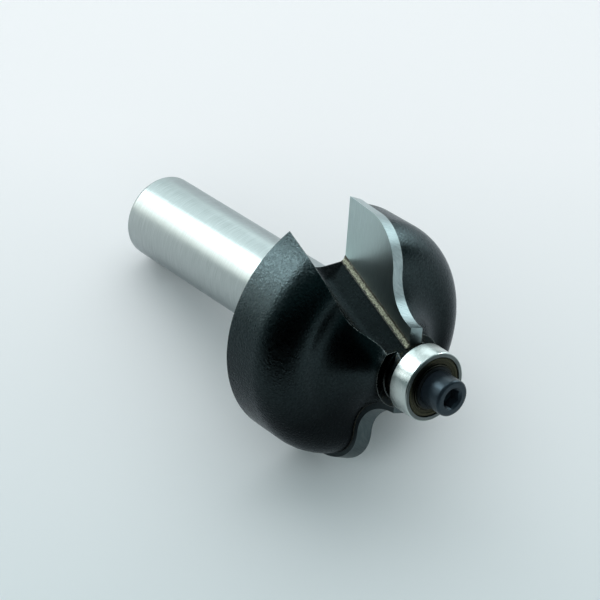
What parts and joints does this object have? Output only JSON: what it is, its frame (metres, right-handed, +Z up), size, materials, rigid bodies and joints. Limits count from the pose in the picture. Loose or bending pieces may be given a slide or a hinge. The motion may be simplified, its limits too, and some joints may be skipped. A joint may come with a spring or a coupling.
{
  "type": "router bit",
  "caption": "Two-flute ogee router bit with a bearing pilot: round shank, black cutting head with brazed carbide blades, guide bearing and socket screw",
  "frame": {"origin": "middle of the bounding box, on the surface that the bit lies on", "axes": "+Z up, +X towards the pilot bearing and screw along the length as it lies, +Y across"},
  "size_m": [0.0636, 0.033, 0.0332],
  "materials": {
    "coated_steel": "satin black coating on the head, fine ground bare steel on the shank",
    "carbide": "ground tungsten carbide",
    "braze": "rough silver braze",
    "ring_steel": "ground and polished bearing steel",
    "shield_steel": "pressed steel",
    "cage_steel": "pressed steel",
    "ball_steel": "polished",
    "black_oxide": "black oxide"
  },
  "bodies": {
    "cutter": {"cutter_body": "coated_steel", "carbide_blade_1": "carbide", "carbide_blade_2": "carbide", "braze_seam_1": "braze", "braze_seam_2": "braze", "bearing_inner_ring": "ring_steel", "screw_washer": "black_oxide", "clamp_screw": "black_oxide"},
    "bearing_rim": {"bearing_outer_ring": "ring_steel", "bearing_shield_front": "shield_steel", "bearing_shield_back": "shield_steel"},
    "cage": {"ball_cage": "cage_steel"},
    "ball_1": {"bearing_ball_1": "ball_steel"},
    "ball_2": {"bearing_ball_2": "ball_steel"},
    "ball_3": {"bearing_ball_3": "ball_steel"},
    "ball_4": {"bearing_ball_4": "ball_steel"},
    "ball_5": {"bearing_ball_5": "ball_steel"},
    "ball_6": {"bearing_ball_6": "ball_steel"},
    "ball_7": {"bearing_ball_7": "ball_steel"},
    "ball_8": {"bearing_ball_8": "ball_steel"}
  },
  "joints": [
    {"name": "bearing_spin", "type": "hinge", "parent": "cutter", "child": "bearing_rim", "pos_m": [0.02629, 0, 0.02086], "axis": [0.9653, 0, 0.2611], "continuous": true},
    {"name": "cage_spin", "type": "hinge", "parent": "cutter", "child": "cage", "pos_m": [0.02629, 0, 0.02086], "axis": [0.9653, 0, 0.2611], "continuous": true},
    {"name": "ball_1_spin", "type": "hinge", "parent": "cage", "child": "ball_1", "pos_m": [0.02539, 0.00093, 0.02419], "axis": [0.9653, 0, 0.2611], "continuous": true},
    {"name": "ball_2_spin", "type": "hinge", "parent": "cage", "child": "ball_2", "pos_m": [0.02548, -0.00178, 0.02385], "axis": [0.9653, 0, 0.2611], "continuous": true},
    {"name": "ball_3_spin", "type": "hinge", "parent": "cage", "child": "ball_3", "pos_m": [0.02604, -0.00345, 0.02176], "axis": [0.9653, 0, 0.2611], "continuous": true},
    {"name": "ball_4_spin", "type": "hinge", "parent": "cage", "child": "ball_4", "pos_m": [0.02675, -0.0031, 0.01914], "axis": [0.9653, 0, 0.2611], "continuous": true},
    {"name": "ball_5_spin", "type": "hinge", "parent": "cage", "child": "ball_5", "pos_m": [0.02719, -0.00093, 0.01753], "axis": [0.9653, 0, 0.2611], "continuous": true},
    {"name": "ball_6_spin", "type": "hinge", "parent": "cage", "child": "ball_6", "pos_m": [0.0271, 0.00178, 0.01787], "axis": [0.9653, 0, 0.2611], "continuous": true},
    {"name": "ball_7_spin", "type": "hinge", "parent": "cage", "child": "ball_7", "pos_m": [0.02653, 0.00345, 0.01996], "axis": [0.9653, 0, 0.2611], "continuous": true},
    {"name": "ball_8_spin", "type": "hinge", "parent": "cage", "child": "ball_8", "pos_m": [0.02582, 0.0031, 0.02258], "axis": [0.9653, 0, 0.2611], "continuous": true}
  ],
  "couplings": [
    {"joint": "cage_spin", "follows": "bearing_spin", "ratio": 0.61111},
    {"joint": "ball_1_spin", "follows": "bearing_spin", "ratio": 2.1389},
    {"joint": "ball_2_spin", "follows": "bearing_spin", "ratio": 2.1389},
    {"joint": "ball_3_spin", "follows": "bearing_spin", "ratio": 2.1389},
    {"joint": "ball_4_spin", "follows": "bearing_spin", "ratio": 2.1389},
    {"joint": "ball_5_spin", "follows": "bearing_spin", "ratio": 2.1389},
    {"joint": "ball_6_spin", "follows": "bearing_spin", "ratio": 2.1389},
    {"joint": "ball_7_spin", "follows": "bearing_spin", "ratio": 2.1389},
    {"joint": "ball_8_spin", "follows": "bearing_spin", "ratio": 2.1389}
  ]
}
